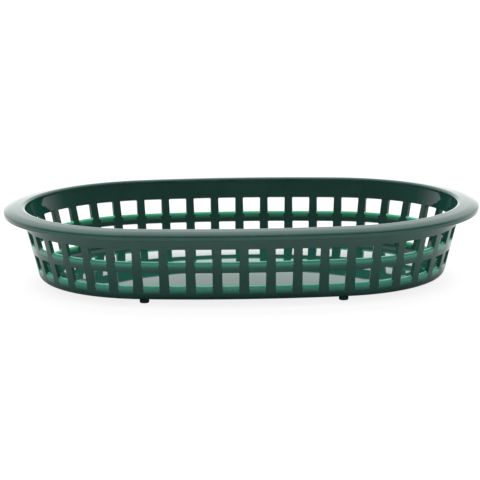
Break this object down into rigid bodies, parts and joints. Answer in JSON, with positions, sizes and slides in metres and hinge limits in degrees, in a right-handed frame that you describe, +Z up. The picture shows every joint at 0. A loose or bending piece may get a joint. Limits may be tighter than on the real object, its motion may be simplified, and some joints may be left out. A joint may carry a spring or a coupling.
{
  "type": "platter basket",
  "caption": "Oval serving basket with a sloping rim flange, a flared lattice wall of ribs and a middle ring, a domed floor and low feet.",
  "frame": {"origin": "on the table plane, under the middle of the floor", "axes": "+X along the length, +Y across the width, +Z up out of the open top"},
  "size_m": [0.2664, 0.1778, 0.0438],
  "materials": {
    "green_plastic": "glossy dark forest green polypropylene"
  },
  "bodies": {
    "root": {"rim_flange": "green_plastic", "upper_band": "green_plastic", "middle_ring": "green_plastic", "base_ring": "green_plastic", "floor_panel": "green_plastic", "foot_front_left": "green_plastic", "foot_front_right": "green_plastic", "foot_back_left": "green_plastic", "foot_back_right": "green_plastic", "rib_01": "green_plastic", "rib_02": "green_plastic", "rib_03": "green_plastic", "rib_04": "green_plastic", "rib_05": "green_plastic", "rib_06": "green_plastic", "rib_07": "green_plastic", "rib_08": "green_plastic", "rib_09": "green_plastic", "rib_10": "green_plastic", "rib_11": "green_plastic", "rib_12": "green_plastic", "rib_13": "green_plastic", "rib_14": "green_plastic", "rib_15": "green_plastic", "rib_16": "green_plastic", "rib_17": "green_plastic", "rib_18": "green_plastic", "rib_19": "green_plastic", "rib_20": "green_plastic", "rib_21": "green_plastic", "rib_22": "green_plastic", "rib_23": "green_plastic", "rib_24": "green_plastic", "rib_25": "green_plastic", "rib_26": "green_plastic", "rib_27": "green_plastic", "rib_28": "green_plastic", "rib_29": "green_plastic", "rib_30": "green_plastic", "rib_31": "green_plastic", "rib_32": "green_plastic", "rib_33": "green_plastic", "rib_34": "green_plastic", "rib_35": "green_plastic", "rib_36": "green_plastic", "rib_37": "green_plastic", "rib_38": "green_plastic", "rib_39": "green_plastic", "rib_40": "green_plastic", "rib_41": "green_plastic", "rib_42": "green_plastic", "rib_43": "green_plastic", "rib_44": "green_plastic"}
  },
  "joints": []
}
